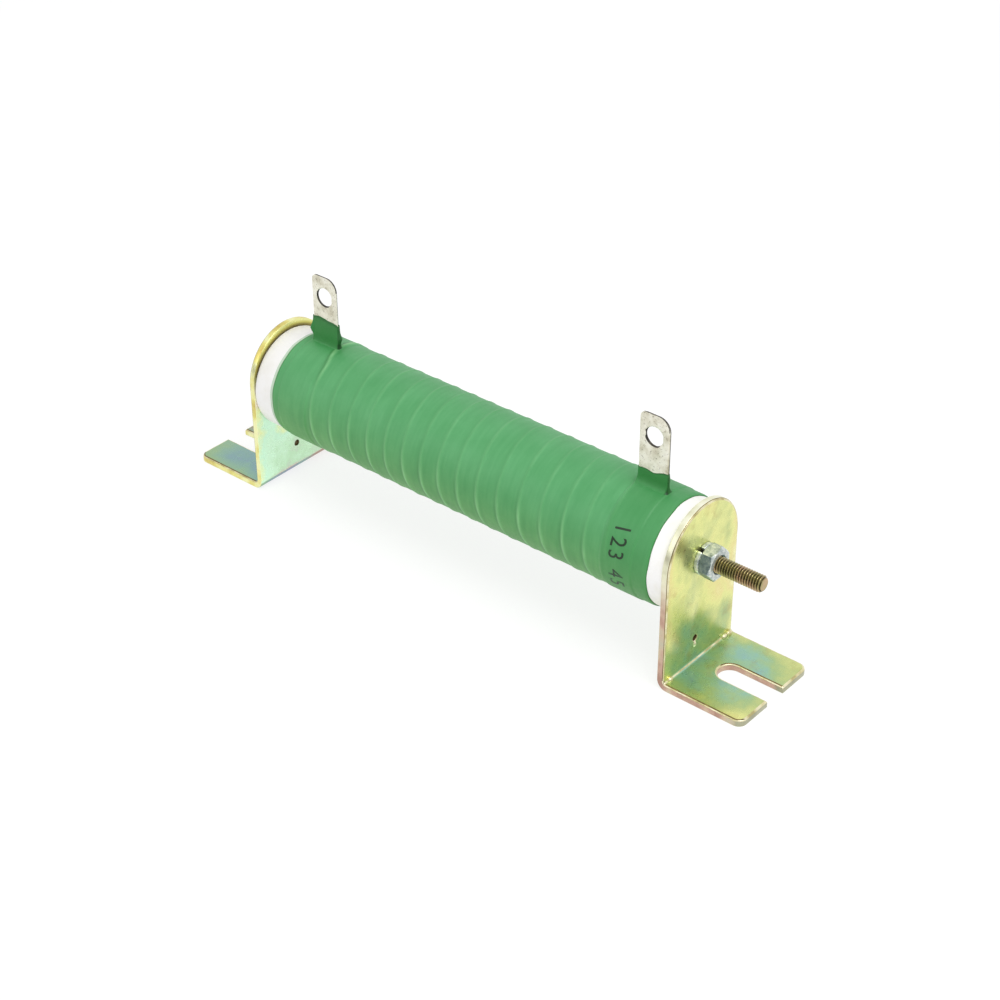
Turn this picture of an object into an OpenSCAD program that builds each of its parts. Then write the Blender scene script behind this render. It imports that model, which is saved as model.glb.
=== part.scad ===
// Tubular wirewound power resistor on two slotted foot brackets.
// X runs along the tube, Z is up, and the feet stand on z = 0 with x = 0 halfway along the tube.

/* [Ceramic tube] */
// Length of the ceramic tube, which is also the distance between the brackets
tube_len = 93; // [70:1:160]
// Outside diameter of the ceramic tube
tube_d = 19.4; // [16:0.2:24]
// Wall thickness of the tube
tube_wall = 3.7; // [2:0.1:5]
// Chamfer on the tube's four end edges
tube_chamfer = 0.3; // [0.1:0.1:0.6]
// Height of the tube's axis above the feet
tube_z = 21; // [16:0.2:30]

/* [Terminals] */
// Thickness of the tinned strip, which the lug has twice
strip_t = 0.2; // [0.15:0.05:0.5]
// Width of the strip, along the tube
strip_w = 5.8; // [4.8:0.1:8]
// Distance from the tube's left end to the middle of the left terminal
lug_inset_left = 9.85; // [8:0.05:16]
// Distance from the tube's right end to the middle of the right terminal
lug_inset_right = 9.4; // [8:0.05:16]
// Height of a lug's tip above the ceramic
lug_rise = 13.9; // [10:0.1:20]
// Radius of a lug's top corner towards the left
lug_corner_left = 1.1; // [0.5:0.1:2]
// Radius of a lug's top corner towards the right
lug_corner_right = 2.3; // [0.5:0.1:3]
// Diameter of the hole through a lug
lug_hole_d = 3.5; // [2.5:0.1:4]
// Distance from a lug's tip down to the middle of its hole
lug_hole_drop = 4; // [3:0.1:5]
// Shift of a lug's rear leaf against its front leaf
leaf_shift = 0.1; // [0.05:0.05:0.4]

/* [Winding] */
// Diameter of the resistance wire
wire_d = 0.3; // [0.15:0.05:0.4]
// Turns of wire between the two terminals
wire_turns = 15; // [8:1:20]

/* [Coat] */
// Distance from the tube's left end to the coat
coat_gap_left = 4.5; // [2:0.1:6]
// Distance from the tube's right end to the coat
coat_gap_right = 2.9; // [2:0.1:6]
// Thickness of the coat between two turns of wire
coat_t = 0.3; // [0.2:0.05:0.6]
// Thickness of the coat over a turn of wire
coat_cover = 0.18; // [0.15:0.01:0.4]
// Thickness of the coat over a terminal band
band_cover = 0.28; // [0.25:0.01:0.5]
// Length over which each end of the coat thins out
coat_taper = 0.9; // [0.4:0.1:2]
// Length by which the thick coat over a terminal band runs past the band's edges
band_over = 0.9; // [0.7:0.1:2]
// Length over which the coat then drops
band_slope = 0.5; // [0.2:0.1:1]
// Width of the ridge that the coat makes over a wire, at its foot
ridge_w = 1.5; // [0.8:0.1:2]
// Width of that ridge at its crest
crest_w = 0.4; // [0.2:0.1:0.6]
// Height that the coat climbs up the left lug
climb_left = 5; // [2:0.1:7]
// Height that the coat climbs up the right lug
climb_right = 3.4; // [2:0.1:7]
// Thickness of the coat on a lug
climb_t = 0.28; // [0.15:0.01:0.5]
// Reach of the fillet at the foot of a lug
climb_foot = 0.6; // [0.4:0.1:0.6]

/* [Brackets] */
// Thickness of the bracket's sheet
sheet_t = 1.3; // [1:0.1:2]
// Overlap of a bracket past the ceramic tube on each side
bracket_over = 0.1; // [0:0.05:3]
// Height of the middle of the bracket's round top
crown_z = 22.3; // [18:0.1:32]
// Inside radius of the bend
bend_r = 0.6; // [0.4:0.1:1.5]
// Distance from the tube's end to the end of the foot
foot_len = 17; // [14:0.5:24]
// Radius of the foot's two corners
foot_corner = 1.6; // [0.5:0.1:3]
// Width of the open slot in a foot
slot_w = 4.5; // [3.5:0.1:6]
// Distance from the tube's end to the middle of the slot's round end
slot_x = 8.05; // [6:0.05:10]
// Diameter of the small hole punched low in each upright
pip_d = 1.2; // [0.6:0.1:2]
// Height of that hole
pip_z = 6; // [4:0.1:9]
// Sideways place of that hole in the right bracket, towards the front
pip_side = 1.2; // [0:0.1:3]

/* [Fasteners] */
// Diameter of the through screw
screw_d = 3; // [2.5:0.5:4]
// Height of the screw's axis above the feet
screw_z = 21.6; // [17:0.1:31]
// Distance from the tube's right end to the screw's tip
screw_reach = 13.2; // [8:0.1:20]
// Chamfer at the screw's tip
screw_chamfer = 0.4; // [0.2:0.1:0.6]
// Clearance of the screw in a bracket's hole, on the radius
screw_clear = 0.2; // [0.1:0.05:0.5]
// Diameter of the screw's pan head
head_d = 5.6; // [5:0.1:9]
// Height of the pan head
head_h = 2.2; // [1.5:0.1:3]
// Rounding of the pan head's rim
head_round = 0.9; // [0.4:0.1:1.2]
// Width of the driver slot
driver_w = 0.8; // [0.5:0.1:1.2]
// Depth of the driver slot
driver_depth = 1; // [0.5:0.1:1.4]
// Radial thickness of the spring washer
washer_w = 1.3; // [1:0.1:2]
// Thickness of the spring washer
washer_t = 0.8; // [0.5:0.1:1.4]
// Width of the washer's split
washer_gap = 0.7; // [0.3:0.1:1.5]
// Clearance round the screw in the washer, on the radius
washer_clear = 0.05; // [0.03:0.01:0.2]
// Width across the nut's flats
nut_af = 5.5; // [5:0.1:8]
// Thickness of the nut
nut_t = 2.4; // [1.8:0.1:4]

/* [Hidden] */

// Steps round one turn of the winding and round the coat
wind_steps = 32;
// Steps round a smooth turned surface
smooth = 64;
// Overshoot that makes a cut pass cleanly through a face
cut = 1;
// Least distance along the tube between two points of the coat's surface
least = 0.06;
// Room between the wire and the sides and top of its groove in the coat
wire_room = 0.04;

// A polygon drawn round a circle touches it at the middle of each side
flat_out = 1 / cos(180 / wind_steps);

tube_r = tube_d / 2;
left_lug_x = -tube_len / 2 + lug_inset_left;
right_lug_x = tube_len / 2 - lug_inset_right;
band_r = tube_r + strip_t;
coat_r = tube_r + coat_t;
wire_seat_r = tube_r * flat_out;
crest_r = wire_seat_r + wire_d + coat_cover;
band_coat_r = band_r * flat_out + band_cover;
groove_top = wire_seat_r + wire_d + wire_room;
climb_root = groove_top + 0.02;
coat_x0 = -tube_len / 2 + coat_gap_left;
coat_x1 = tube_len / 2 - coat_gap_right;

// The winding runs from the inboard edge of one band to the inboard edge of the other
wind_x0 = left_lug_x + strip_w / 2 + wire_d / 2;
wind_x1 = right_lug_x - strip_w / 2 - wire_d / 2;
wind_pitch = (wind_x1 - wind_x0) / wire_turns;

// Sections as [along the tube, radius]: the wire, the coat's ridge over it, and the groove in the coat
wire_section = [[-wire_d / 2, wire_seat_r], [wire_d / 2, wire_seat_r],
                [wire_d / 2, wire_seat_r + wire_d], [-wire_d / 2, wire_seat_r + wire_d]];
ridge_section = [[-ridge_w / 2, coat_r], [-crest_w / 2, crest_r],
                 [crest_w / 2, crest_r], [ridge_w / 2, coat_r]];
groove_section = [[-wire_d / 2 - wire_room, wire_seat_r], [-wire_d / 2 - wire_room, groove_top],
                  [wire_d / 2 + wire_room, groove_top], [wire_d / 2 + wire_room, wire_seat_r]];

lug_tip_z = tube_z + tube_r + lug_rise;
bracket_w = tube_d + 2 * bracket_over;
bend_out = sheet_t + bend_r;
screw_x0 = -tube_len / 2 - sheet_t;
screw_x1 = tube_len / 2 + screw_reach;
washer_x = tube_len / 2 + sheet_t;
nut_x = washer_x + washer_t;

// Moves a shape that was turned about Z onto the tube's axis, its Z becoming X
module along_tube(x, z) {
    translate([x, 0, z]) rotate([0, 90, 0]) children();
}

// A point on the winding: step i along the helix, which starts at the top and goes down the front
function wound_x(i) = wind_x0 + wind_pitch * i / wind_steps;
function round_tube(x, r, i) = let (a = 360 * i / wind_steps) [x, -r * sin(a), tube_z + r * cos(a)];

// Sweeps a section along the winding's helix
module helix_sweep(section) {
    count = len(section);
    last = wire_turns * wind_steps;
    points = [for (i = [0 : last]) for (p = section) round_tube(wound_x(i) + p[0], p[1], i)];
    sides = [for (i = [0 : last - 1]) for (j = [0 : count - 1])
        let (k = (j + 1) % count, a = i * count, b = a + count)
        for (face = split([a + j, b + j, b + k, a + k])) face];
    start_cap = [for (j = [0 : count - 1]) j];
    end_cap = [for (j = [count - 1 : -1 : 0]) last * count + j];
    polyhedron(points, concat(sides, [start_cap, end_cap]), convexity = 10);
}

// Cuts a face into triangles that all meet at its last corner
function split(face) = let (n = len(face)) [for (k = [0 : n - 3]) [face[n - 1], face[k], face[k + 1]]];

// Points of a surface that goes round the tube: circles [x, radius] at its left, then a section that
// follows the helix from turn to turn, then circles at its right.
function wound_points(left, section, right) =
    let (x0 = left[len(left) - 1][0], x1 = right[0][0], n = len(section))
    concat([for (c = left) for (i = [0 : wind_steps - 1]) round_tube(c[0], c[1], i)],
           [for (i = [0 : wire_turns * wind_steps]) for (j = [0 : n - 1])
               let (x = wound_x(i) + section[j][0])
               round_tube(min(max(x, x0 + least * (j + 1)), x1 - least * (n - j)), section[j][1], i)],
           [for (c = right) for (i = [0 : wind_steps - 1]) round_tube(c[0], c[1], i)]);

// Faces of that surface, when it has n circles at its left, m at its right and a section of k points
function wound_faces(n, k, m) =
    let (w = wind_steps, last = wire_turns * w, turn = last - w, h = n * w, e = h + (last + 1) * k,
         circles = [for (g = [[0, n], [e, m]]) if (g[1] > 1) for (c = [0 : g[1] - 2]) for (i = [0 : w - 1])
             [for (p = [[c, i], [c + 1, i], [c + 1, i + 1], [c, i + 1]]) g[0] + p[0] * w + p[1] % w]],
         start = [for (i = [0 : w - 2]) [h - w + i, h + i * k, h + (i + 1) * k, h - w + i + 1]],
         start_seam = concat([h + w * k], [for (j = [k - 1 : -1 : 0]) h + j],
                             [h - w, h - 1, h + (w - 1) * k]),
         turns = [for (i = [0 : last - 1]) for (j = [0 : k - 2])
             [h + i * k + j, h + i * k + j + 1, h + (i + 1) * k + j + 1, h + (i + 1) * k + j]],
         between = [for (i = [0 : turn - 1])
             [h + i * k + k - 1, h + (i + w) * k, h + (i + w + 1) * k, h + (i + 1) * k + k - 1]],
         end = [for (i = [1 : w - 1])
             [h + (turn + i) * k + k - 1, e + i, e + (i + 1) % w, h + (turn + i + 1) * k + k - 1]],
         end_seam = concat([h + turn * k + k - 1], [for (j = [0 : k - 1]) h + last * k + j],
                           [e, e + 1, h + (turn + 1) * k + k - 1]))
    [for (face = concat(circles, start, [start_seam], turns, between, end, [end_seam]))
        for (part = split(face)) part];

module ceramic_tube() {
    bore_r = tube_r - tube_wall;
    color("white") along_tube(-tube_len / 2, tube_z) rotate_extrude($fn = smooth)
        polygon([[bore_r + tube_chamfer, 0], [tube_r - tube_chamfer, 0], [tube_r, tube_chamfer],
                 [tube_r, tube_len - tube_chamfer], [tube_r - tube_chamfer, tube_len],
                 [bore_r + tube_chamfer, tube_len], [bore_r, tube_len - tube_chamfer],
                 [bore_r, tube_chamfer]]);
}

module resistance_wire() {
    color("dimgray") helix_sweep(wire_section);
}

// Outline of one leaf of a lug in the plane of the strip, with x along the tube and y up
module leaf_outline() {
    half = strip_w / 2;
    top = lug_tip_z - tube_z;
    foot = tube_r + strip_t / 2;
    difference() {
        union() {
            translate([-half, foot]) square([strip_w, top - foot - lug_corner_right]);
            translate([-half, foot]) square([strip_w - lug_corner_right, top - foot - lug_corner_left]);
            translate([-half + lug_corner_left, foot])
                square([strip_w - lug_corner_left - lug_corner_right, top - foot]);
            translate([-half + lug_corner_left, top - lug_corner_left]) circle(lug_corner_left, $fn = smooth);
            translate([half - lug_corner_right, top - lug_corner_right])
                circle(lug_corner_right, $fn = smooth);
        }
        translate([0, top - lug_hole_drop]) circle(lug_hole_d / 2, $fn = smooth);
    }
}

// A tinned strip bent round the tube, with both its ends turned up and laid together as a lug
module terminal(x, out) {
    color("gainsboro") translate([x, 0, tube_z]) {
        rotate([0, 90, 0]) difference() {
            cylinder(r = band_r, h = strip_w, center = true, $fn = smooth);
            cylinder(r = tube_r, h = strip_w + 2 * cut, center = true, $fn = smooth);
        }
        rotate([90, 0, 0]) linear_extrude(height = strip_t) leaf_outline();
        rotate([90, 0, 0]) translate([0, 0, -strip_t]) linear_extrude(height = strip_t) difference() {
            translate([out * leaf_shift, -leaf_shift]) leaf_outline();
            translate([0, lug_tip_z - tube_z - lug_hole_drop]) circle(lug_hole_d / 2, $fn = smooth);
        }
    }
}

module terminal_left() {
    terminal(left_lug_x, -1);
}

module terminal_right() {
    terminal(right_lug_x, 1);
}

// Block round a lug, grown by reach on every side, from height z0 to z1 above the tube's axis
module lug_block(reach, z0, z1) {
    translate([-strip_w / 2 - reach, -strip_t - reach, z0])
        cube([strip_w + 2 * reach, 2 * (strip_t + reach), z1 - z0]);
}

// Coat that has crept up a lug: a fillet in four steps, and above it a thin skin with an uneven edge
module coat_climb(x, out, climb) {
    foot_z = band_coat_r;
    half = strip_w / 2 + climb_t * 0.9;
    // Steps of the fillet as [share of its reach round the lug, height above the coat]
    steps = [[1, 0.05], [0.62, 0.2], [0.36, 0.42], [0.17, 0.7], [0.06, 1.05], [0, 1.5]];
    least_reach = climb_t * 0.8;
    reach = [for (s = steps) least_reach + (climb_foot - least_reach) * s[0]];
    // Uneven edge as [share of the half width towards the outboard side, height below the climb]
    edge = [[-1, 0.3], [-0.5, 0.5], [0, 0.75], [0.4, 0.45], [1, 0]];
    translate([x, 0, tube_z]) {
        for (i = [0 : len(steps) - 2]) hull() {
            lug_block(reach[i], climb_root, foot_z + steps[i][1]);
            lug_block(reach[i + 1], climb_root, foot_z + steps[i + 1][1]);
        }
        rotate([90, 0, 0]) linear_extrude(height = 2 * (strip_t + climb_t), center = true)
            polygon(concat([for (e = edge) [out * half * e[0], foot_z + climb - e[1]]],
                           [[out * half, climb_root], [-out * half, climb_root]]));
    }
}

// Room for a terminal inside the coat
module terminal_pocket(x) {
    translate([x, 0, tube_z]) {
        rotate([0, 90, 0]) cylinder(r = band_r * flat_out, h = strip_w, center = true, $fn = wind_steps);
        lug_block(0, 0, lug_rise + tube_r + cut);
        translate([(x > 0 ? 1 : -1) * leaf_shift - strip_w / 2, 0, 0])
            cube([strip_w, strip_t, lug_rise + tube_r + cut]);
    }
}

// The coat on the tube as one closed surface: bands, ridges and thinned ends outside, and inside a
// bore with the wire's groove
module coat_shell() {
    half = strip_w / 2 + band_over;
    edge_r = wire_seat_r + coat_t / 4;
    left = [[coat_x0, edge_r], [coat_x0 + coat_taper, coat_r], [left_lug_x - half - band_slope, coat_r],
            [left_lug_x - half, band_coat_r], [left_lug_x + half, band_coat_r]];
    right = [[right_lug_x - half, band_coat_r], [right_lug_x + half, band_coat_r],
             [right_lug_x + half + band_slope, coat_r], [coat_x1 - coat_taper, coat_r], [coat_x1, edge_r]];
    left_in = [[coat_x0, wire_seat_r], [left_lug_x, wire_seat_r]];
    right_in = [[right_lug_x, wire_seat_r], [coat_x1, wire_seat_r]];
    outside = wound_points(left, ridge_section, right);
    inside = wound_points(left_in, groove_section, right_in);
    shift = len(outside);
    last_out = shift - wind_steps;
    last_in = shift + len(inside) - wind_steps;
    ends = [for (i = [0 : wind_steps - 1]) let (k = (i + 1) % wind_steps)
        for (face = [[i, k, shift + k, shift + i], [last_out + i, last_in + i, last_in + k, last_out + k]])
            for (part = split(face)) part];
    polyhedron(concat(outside, inside),
               concat(wound_faces(len(left), len(ridge_section), len(right)),
                      [for (f = wound_faces(len(left_in), len(groove_section), len(right_in)))
                          [f[2] + shift, f[1] + shift, f[0] + shift]], ends),
               convexity = 10);
}

module green_coat() {
    color("mediumseagreen") difference() {
        union() {
            coat_shell();
            coat_climb(left_lug_x, -1, climb_left);
            coat_climb(right_lug_x, 1, climb_right);
        }
        terminal_pocket(left_lug_x);
        terminal_pocket(right_lug_x);
    }
}

// Side view of the bent sheet, with x away from the tube and y up
module bracket_profile() {
    translate([0, bend_out]) square([sheet_t, crown_z + bracket_w / 2 - bend_out]);
    translate([bend_out, 0]) square([foot_len - bend_out, sheet_t]);
    intersection() {
        translate([bend_out, bend_out]) difference() {
            circle(bend_out, $fn = smooth);
            circle(bend_r, $fn = smooth);
        }
        square(bend_out);
    }
}

// Front view of the upright, with x to the side and y up
module upright_outline() {
    translate([-bracket_w / 2, 0]) square([bracket_w, crown_z]);
    translate([0, crown_z]) circle(bracket_w / 2, $fn = smooth * 2);
}

// Top view of the foot, with x away from the tube
module foot_outline() {
    half = bracket_w / 2;
    translate([0, -half]) square([foot_len - foot_corner, bracket_w]);
    translate([foot_len - 2 * foot_corner, -half + foot_corner])
        square([2 * foot_corner, bracket_w - 2 * foot_corner]);
    for (side = [-1, 1]) translate([foot_len - foot_corner, side * (half - foot_corner)])
        circle(foot_corner, $fn = smooth);
}

// One bracket with its foot towards +X and the tube's end at x = 0
module bracket(pip_y) {
    color("khaki") difference() {
        intersection() {
            translate([0, bracket_w, 0]) rotate([90, 0, 0]) linear_extrude(height = 2 * bracket_w)
                bracket_profile();
            union() {
                rotate([90, 0, 90]) linear_extrude(height = bend_out) upright_outline();
                translate([bend_out, 0, 0]) linear_extrude(height = sheet_t)
                    intersection() {
                        translate([-bend_out, 0]) foot_outline();
                        translate([0, -bracket_w]) square([foot_len, 2 * bracket_w]);
                    }
            }
        }
        translate([slot_x, 0, -cut]) cylinder(d = slot_w, h = sheet_t + 2 * cut, $fn = smooth);
        translate([slot_x, -slot_w / 2, -cut]) cube([foot_len, slot_w, sheet_t + 2 * cut]);
        translate([-cut, 0, screw_z]) rotate([0, 90, 0])
            cylinder(r = screw_d / 2 + screw_clear, h = sheet_t + 2 * cut, $fn = smooth);
        translate([-cut, pip_y, pip_z]) rotate([0, 90, 0])
            cylinder(d = pip_d, h = sheet_t + 2 * cut, $fn = smooth / 2);
    }
}

module bracket_left() {
    translate([-tube_len / 2, 0, 0]) rotate([0, 0, 180]) bracket(0);
}

module bracket_right() {
    translate([tube_len / 2, 0, 0]) bracket(-pip_side);
}

// Pan head against the left bracket, plain shank, and the free end past the right bracket
module through_screw() {
    screw_len = screw_x1 - screw_x0;
    color("darkkhaki") difference() {
        along_tube(screw_x0, screw_z) {
            rotate_extrude($fn = smooth)
                polygon([[0, 0], [screw_d / 2, 0], [screw_d / 2, screw_len - screw_chamfer],
                         [screw_d / 2 - screw_chamfer, screw_len], [0, screw_len]]);
            rotate_extrude($fn = smooth) {
                translate([0, -head_h + head_round]) square([head_d / 2, head_h - head_round]);
                translate([0, -head_h]) square([head_d / 2 - head_round, head_h]);
                translate([head_d / 2 - head_round, -head_h + head_round])
                    circle(head_round, $fn = smooth / 2);
            }
        }
        translate([screw_x0 - head_h - cut, -driver_w / 2, screw_z - head_d])
            cube([driver_depth + cut, driver_w, 2 * head_d]);
    }
}

module spring_washer() {
    hole_r = screw_d / 2 + washer_clear;
    color("lightsteelblue") difference() {
        along_tube(washer_x, screw_z) difference() {
            cylinder(r = hole_r + washer_w, h = washer_t, $fn = smooth);
            translate([0, 0, -cut]) cylinder(r = hole_r, h = washer_t + 2 * cut, $fn = smooth);
        }
        translate([washer_x - cut, -washer_gap / 2, screw_z])
            cube([washer_t + 2 * cut, washer_gap, hole_r + washer_w + cut]);
    }
}

module hex_nut() {
    corner_d = nut_af / cos(30);
    color("lightsteelblue") along_tube(nut_x, screw_z) difference() {
        intersection() {
            cylinder(d = corner_d, h = nut_t, $fn = 6);
            // Chamfered corners, as turned from hexagon bar
            rotate_extrude($fn = smooth)
                polygon([[0, 0], [nut_af * 0.48, 0], [corner_d / 2 + 0.02, nut_t * 0.16],
                         [corner_d / 2 + 0.02, nut_t * 0.84], [nut_af * 0.48, nut_t], [0, nut_t]]);
        }
        translate([0, 0, -cut]) cylinder(d = screw_d, h = nut_t + 2 * cut, $fn = smooth);
    }
}

ceramic_tube();
resistance_wire();
green_coat();
terminal_left();
terminal_right();
bracket_left();
bracket_right();
through_screw();
spring_washer();
hex_nut();
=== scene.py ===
import math

import bmesh
import bpy
from mathutils import Matrix, Vector


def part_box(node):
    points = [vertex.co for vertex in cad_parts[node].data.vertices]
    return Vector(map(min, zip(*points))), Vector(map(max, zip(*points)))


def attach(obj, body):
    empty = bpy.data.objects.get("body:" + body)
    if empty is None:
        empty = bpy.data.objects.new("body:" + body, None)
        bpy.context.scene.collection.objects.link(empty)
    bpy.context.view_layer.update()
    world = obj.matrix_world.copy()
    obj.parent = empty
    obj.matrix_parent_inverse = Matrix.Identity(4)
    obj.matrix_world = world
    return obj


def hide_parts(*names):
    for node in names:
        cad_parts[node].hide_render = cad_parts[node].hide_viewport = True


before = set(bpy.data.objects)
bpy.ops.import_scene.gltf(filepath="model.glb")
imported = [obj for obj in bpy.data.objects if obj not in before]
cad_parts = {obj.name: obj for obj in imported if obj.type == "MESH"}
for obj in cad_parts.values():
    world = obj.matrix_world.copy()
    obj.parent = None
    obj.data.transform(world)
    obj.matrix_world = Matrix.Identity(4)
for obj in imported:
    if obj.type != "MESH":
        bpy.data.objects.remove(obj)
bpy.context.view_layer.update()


# Ceramic tube
# The former that everything else is built on: a steatite tube, extruded, cut to length and fired.
# It is left unglazed, so it is matt and very white, and its two cut ends have a small worn chamfer.
MM = 0.001  # Sizes here are in millimetres, and Blender's in metres
tube_low, tube_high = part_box("ceramic_tube")
axis_z = (tube_low[2] + tube_high[2]) / 2 / MM
tube_r = (tube_high[2] - tube_low[2]) / 2 / MM
tube_end = tube_high[0] / MM
bore_r = 6
tube_chamfer = 0.3
tube_worn = 0.09
tube_steps = 128


def linear(hex_colour):
    """Turns an sRGB hex colour into the linear one that a shader takes."""
    parts = [int(hex_colour[k:k + 2], 16) / 255 for k in (0, 2, 4)]
    return [p / 12.92 if p <= 0.04045 else ((p + 0.055) / 1.055) ** 2.4 for p in parts] + [1]


def every(size):
    """The scale of a pattern whose marks lie about this many millimetres apart."""
    return 1 / (size * MM)


def add(tree, kind, inputs=(), stops=(), **settings):
    """Adds a node with its settings, the stops of its ramp, and its inputs' values or links."""
    node = tree.nodes.new("ShaderNode" + kind)
    for name, value in settings.items():
        setattr(node, name, value)
    if stops:
        ramp = node.color_ramp.elements
        while len(ramp) < len(stops):
            ramp.new(0.5)
        for point, (place, colour) in zip(ramp, stops):
            point.position = place
            point.color = linear(colour)
    for name, value in dict(inputs).items():
        if isinstance(value, bpy.types.NodeSocket):
            tree.links.new(value, node.inputs[name])
        else:
            node.inputs[name].default_value = value
    return node


def new_finish(name):
    """Starts a material: its node tree, its shader, and where its patterns lie on the piece."""
    material = bpy.data.materials.new(name)
    material.use_nodes = True
    tree = material.node_tree
    place = tree.nodes.new("ShaderNodeTexCoord").outputs["Object"]
    return material, tree, tree.nodes["Principled BSDF"], place


def turned(profile, steps, ring):
    """Turns points [x, radius] in mm about the tube's axis. A ring's last point joins its first."""
    bm = bmesh.new()
    verts = [bm.verts.new((x * MM, 0, r * MM)) for x, r in profile]
    edges = [bm.edges.new(pair) for pair in zip(verts, verts[1:])]
    if ring:
        edges.append(bm.edges.new((verts[-1], verts[0])))
    bmesh.ops.spin(bm, geom=verts + edges, cent=(0, 0, 0), axis=(1, 0, 0), angle=2 * math.pi,
                   steps=steps, use_merge=True)
    bmesh.ops.remove_doubles(bm, verts=bm.verts, dist=0.0005 * MM)
    bmesh.ops.recalc_face_normals(bm, faces=bm.faces)
    return bm


def made(bm, name, finish, slot, *nodes, crease=35):
    """Makes a finished piece of a bmesh, which stands for the CAD nodes that are named."""
    mesh = bpy.data.meshes.new(name)
    bm.to_mesh(mesh)
    bm.free()
    mesh.polygons.foreach_set("use_smooth", [True] * len(mesh.polygons))
    mesh.set_sharp_from_angle(angle=math.radians(crease))
    mesh.materials.append(finish)
    piece = bpy.data.objects.new(name, mesh)
    bpy.context.scene.collection.objects.link(piece)
    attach(piece, "root")
    if nodes:
        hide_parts(*nodes)
    return piece


# Fired steatite: an even, faintly warm white, matt, with a trace of handling dirt. Its grain is finer
# than the render can show, so it is drawn at 0.2 mm.
ceramic, tree, shader, place = new_finish("fired_steatite")
dirt = add(tree, "TexNoise", {"Vector": place, "Scale": every(4.167), "Detail": 4, "Roughness": 0.6})
tint = add(tree, "ValToRGB", {"Fac": dirt.outputs["Fac"]}, [(0.25, "f6f4ef"), (0.5, "fdfcfb")])
grain = add(tree, "TexNoise", {"Vector": place, "Scale": every(0.2), "Detail": 2})
bump = add(tree, "Bump", {"Height": grain.outputs["Fac"], "Strength": 0.2, "Distance": 0.02 * MM})
tree.links.new(tint.outputs["Color"], shader.inputs["Base Color"])
tree.links.new(bump.outputs["Normal"], shader.inputs["Normal"])
shader.inputs["Roughness"].default_value = 0.62

bm = turned([[-tube_end, bore_r + tube_chamfer], [-tube_end, tube_r - tube_chamfer],
             [-tube_end + tube_worn, tube_r - tube_worn], [-tube_end + tube_chamfer, tube_r],
             [0, tube_r], [tube_end - tube_chamfer, tube_r],
             [tube_end - tube_worn, tube_r - tube_worn], [tube_end, tube_r - tube_chamfer],
             [tube_end, bore_r + tube_chamfer], [tube_end - tube_chamfer, bore_r],
             [-tube_end + tube_chamfer, bore_r]], tube_steps, True)
bmesh.ops.translate(bm, verts=bm.verts, vec=(0, 0, axis_z * MM))
made(bm, "steatite_tube", ceramic, "ceramic", "ceramic_tube")


# Resistance wire
# Nickel-chromium wire, wound on the tube in one layer and run from one terminal to the other.
# It was wound by hand, so its turns aren't quite even. The coat covers it, so only its ridges show.
wire_r = 0.15
wire_gap = 0.01
wire_sides = 8
wire_steps = 48
# Turn 0 of the winding lies at ridge_x along the tube, ridge_phi degrees down the front from the top
ridge_x = -32.2
ridge_phi = 60
ridge_pitch = 4.43
first_turn = -0.22
last_turn = 15
# How far the turns stray from even, and over how many turns they stray and come back
stray = 0.58
stray_turns = 11.4
# How far the start of the winding leans in to the left lug's corner, where it was fixed
lean = 0.9


def ease(value):
    """A smooth step from 0 to 1."""
    value = min(max(value, 0), 1)
    return value * value * (3 - 2 * value)


def ridge_at(turn):
    """Where the winding is along the tube. Its lean comes between 1/12 and 1/6 of a turn before 0."""
    strayed = stray * math.sin(turn * 2 * math.pi / stray_turns)
    return ridge_x + ridge_pitch * turn + strayed - lean * ease(-12 * turn - 1)


# Drawn nichrome: a grey metal, faintly streaked by the die. The streaks are finer than the render can
# show, so they are drawn at 0.33 mm.
wire_finish, tree, shader, place = new_finish("drawn_nichrome")
draw = add(tree, "TexNoise", {"Vector": place, "Scale": every(0.3333), "Detail": 2})
tint = add(tree, "ValToRGB", {"Fac": draw.outputs["Fac"]}, [(0.3, "6e6a64"), (0.7, "a39c92")])
tree.links.new(tint.outputs["Color"], shader.inputs["Base Color"])
shader.inputs["Metallic"].default_value = 1
shader.inputs["Roughness"].default_value = 0.35

bm = bmesh.new()
section = bmesh.ops.create_circle(bm, cap_ends=False, segments=wire_sides, radius=wire_r * MM)["verts"]
bmesh.ops.rotate(bm, verts=section, cent=(0, 0, 0), matrix=Matrix.Rotation(math.pi / 2, 3, "X"))
bmesh.ops.translate(bm, verts=section, vec=(0, 0, (tube_r + wire_r + wire_gap) * MM))
start = math.radians(ridge_phi + 360 * first_turn)
bmesh.ops.rotate(bm, verts=section, cent=(0, 0, 0), matrix=Matrix.Rotation(start, 3, "X"))
bmesh.ops.translate(bm, verts=section, vec=((ridge_x + ridge_pitch * first_turn) * MM, 0, 0))
turns = last_turn - first_turn
bmesh.ops.spin(bm, geom=bm.verts[:] + bm.edges[:], cent=(0, 0, 0), axis=(1, 0, 0),
               dvec=(ridge_pitch / wire_steps * MM, 0, 0), angle=2 * math.pi * turns,
               steps=round(wire_steps * turns))
# The turns are wound evenly, and then each is moved to where the hand laid it
for v in bm.verts:
    part = (math.degrees(math.atan2(-v.co.y, v.co.z)) - ridge_phi) / 360
    turn = round((v.co.x / MM - ridge_x) / ridge_pitch - part) + part
    v.co.x += (ridge_at(turn) - ridge_x - ridge_pitch * turn) * MM
bmesh.ops.holes_fill(bm, edges=bm.edges, sides=wire_sides)
bmesh.ops.recalc_face_normals(bm, faces=bm.faces)
bmesh.ops.translate(bm, verts=bm.verts, vec=(0, 0, axis_z * MM))
made(bm, "wound_wire", wire_finish, "resistance_alloy", "resistance_wire")


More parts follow.
